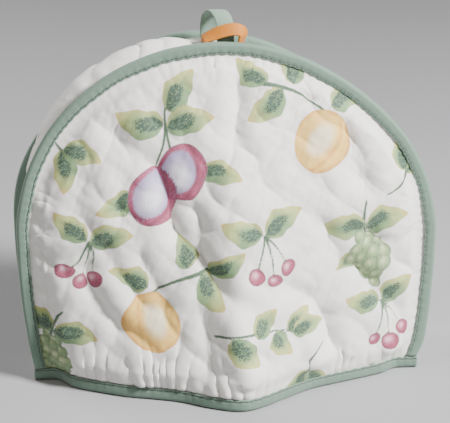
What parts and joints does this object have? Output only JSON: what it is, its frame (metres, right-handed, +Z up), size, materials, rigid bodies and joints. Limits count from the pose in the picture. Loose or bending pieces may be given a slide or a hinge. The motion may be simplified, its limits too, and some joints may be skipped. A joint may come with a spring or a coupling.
{
  "type": "quilted toaster cover",
  "caption": "Arched quilted fabric cover for a toaster, hollow and open below, with bound seams and hem, a hanging loop and a small strap loop.",
  "frame": {"origin": "middle of the cover's foot, on the surface that it stands on", "axes": "+X to the right across the wide panels, +Y from the printed front to the back, +Z up"},
  "size_m": [0.2994, 0.1658, 0.2612],
  "materials": {
    "quilted_cloth": "quilted cream cotton with a printed fruit and leaf pattern",
    "green_tape": "sage green woven cotton tape",
    "orange_strap": "orange woven strap"
  },
  "bodies": {
    "root": {"front_panel": "quilted_cloth", "back_panel": "quilted_cloth", "gusset": "quilted_cloth", "front_binding": "green_tape", "back_binding": "green_tape", "hem_front": "green_tape", "hem_back": "green_tape", "hem_left": "green_tape", "hem_right": "green_tape", "hang_loop": "green_tape", "ribbon_loop": "orange_strap"}
  },
  "joints": []
}
